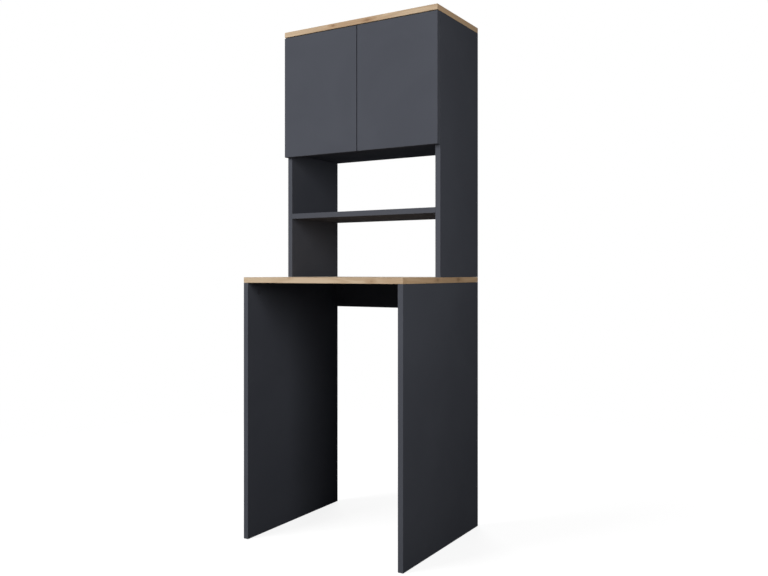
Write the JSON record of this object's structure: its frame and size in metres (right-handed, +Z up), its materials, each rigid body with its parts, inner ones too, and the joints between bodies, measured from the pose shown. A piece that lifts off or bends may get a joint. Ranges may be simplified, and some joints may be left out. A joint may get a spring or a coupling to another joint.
{
  "type": "washing machine cabinet",
  "caption": "Tall laundry cabinet with a bay for a washing machine, an oak-look worktop, open niches and a cupboard with handleless doors on concealed hinges.",
  "frame": {"origin": "on the floor, midway between the outer faces of the side panels and midway between the bay's front edge and the back edges", "axes": "+Z up, +X across the cabinet to the right as seen from the front, the doors and the bay face -Y"},
  "size_m": [0.64, 0.55, 1.82],
  "materials": {
    "anthracite_board": "fine-textured anthracite melamine",
    "oak_board": "oak-look melamine, matt",
    "backing_board": "thin lacquered fibreboard",
    "hinge_steel": "nickel-plated pressed steel",
    "bracket_zinc": "zinc-plated",
    "clear_rubber": "soft, translucent"
  },
  "bodies": {
    "carcass": {"back_panel": "backing_board", "cupboard_floor": "anthracite_board", "left_lower_hinge_arm": "hinge_steel", "left_lower_hinge_plate": "hinge_steel", "left_upper_hinge_arm": "hinge_steel", "left_upper_hinge_plate": "hinge_steel", "loose_shelf": "anthracite_board", "lower_left_side": "anthracite_board", "lower_right_side": "anthracite_board", "open_shelf": "anthracite_board", "rear_rail": "anthracite_board", "right_lower_hinge_arm": "hinge_steel", "right_lower_hinge_plate": "hinge_steel", "right_upper_hinge_arm": "hinge_steel", "right_upper_hinge_plate": "hinge_steel", "shelf_pin_left_front": "hinge_steel", "shelf_pin_left_rear": "hinge_steel", "shelf_pin_right_front": "hinge_steel", "shelf_pin_right_rear": "hinge_steel", "top_board": "oak_board", "upper_left_side": "anthracite_board", "upper_right_side": "anthracite_board", "wall_bracket_left": "bracket_zinc", "wall_bracket_right": "bracket_zinc", "worktop": "oak_board"},
    "left_outer_links": {"left_lower_outer_link": "hinge_steel", "left_upper_outer_link": "hinge_steel"},
    "left_door": {"left_door": "anthracite_board", "left_door_buffer": "clear_rubber", "left_lower_hinge_cup": "hinge_steel", "left_upper_hinge_cup": "hinge_steel"},
    "left_inner_links": {"left_lower_inner_link": "hinge_steel", "left_upper_inner_link": "hinge_steel"},
    "right_outer_links": {"right_lower_outer_link": "hinge_steel", "right_upper_outer_link": "hinge_steel"},
    "right_door": {"right_door": "anthracite_board", "right_door_buffer": "clear_rubber", "right_lower_hinge_cup": "hinge_steel", "right_upper_hinge_cup": "hinge_steel"},
    "right_inner_links": {"right_lower_inner_link": "hinge_steel", "right_upper_inner_link": "hinge_steel"}
  },
  "joints": [
    {"name": "left_outer_link_turn", "type": "hinge", "parent": "carcass", "child": "left_outer_links", "pos_m": [-0.297, -0.023, 1.45], "axis": [0, 0, 1], "range_deg": [0, 35.3]},
    {"name": "left_door_swing", "type": "hinge", "parent": "left_outer_links", "child": "left_door", "pos_m": [-0.3114, -0.0338, 1.45], "axis": [0, 0, -1], "range_deg": [0, 130.22]},
    {"name": "left_inner_link_turn", "type": "hinge", "parent": "left_door", "child": "left_inner_links", "pos_m": [-0.3087, -0.0284, 1.45], "axis": [0, 0, 1], "range_deg": [0, 125.9]},
    {"name": "right_outer_link_turn", "type": "hinge", "parent": "carcass", "child": "right_outer_links", "pos_m": [0.297, -0.023, 1.45], "axis": [0, 0, -1], "range_deg": [0, 35.3]},
    {"name": "right_door_swing", "type": "hinge", "parent": "right_outer_links", "child": "right_door", "pos_m": [0.3114, -0.0338, 1.45], "axis": [0, 0, 1], "range_deg": [0, 130.22]},
    {"name": "right_inner_link_turn", "type": "hinge", "parent": "right_door", "child": "right_inner_links", "pos_m": [0.3087, -0.0284, 1.45], "axis": [0, 0, -1], "range_deg": [0, 125.9]}
  ],
  "couplings": [
    {"joint": "left_outer_link_turn", "follows": "left_door_swing", "ratio": 0.27048},
    {"joint": "left_inner_link_turn", "follows": "left_door_swing", "ratio": 0.96588},
    {"joint": "right_outer_link_turn", "follows": "right_door_swing", "ratio": 0.27048},
    {"joint": "right_inner_link_turn", "follows": "right_door_swing", "ratio": 0.96588}
  ]
}
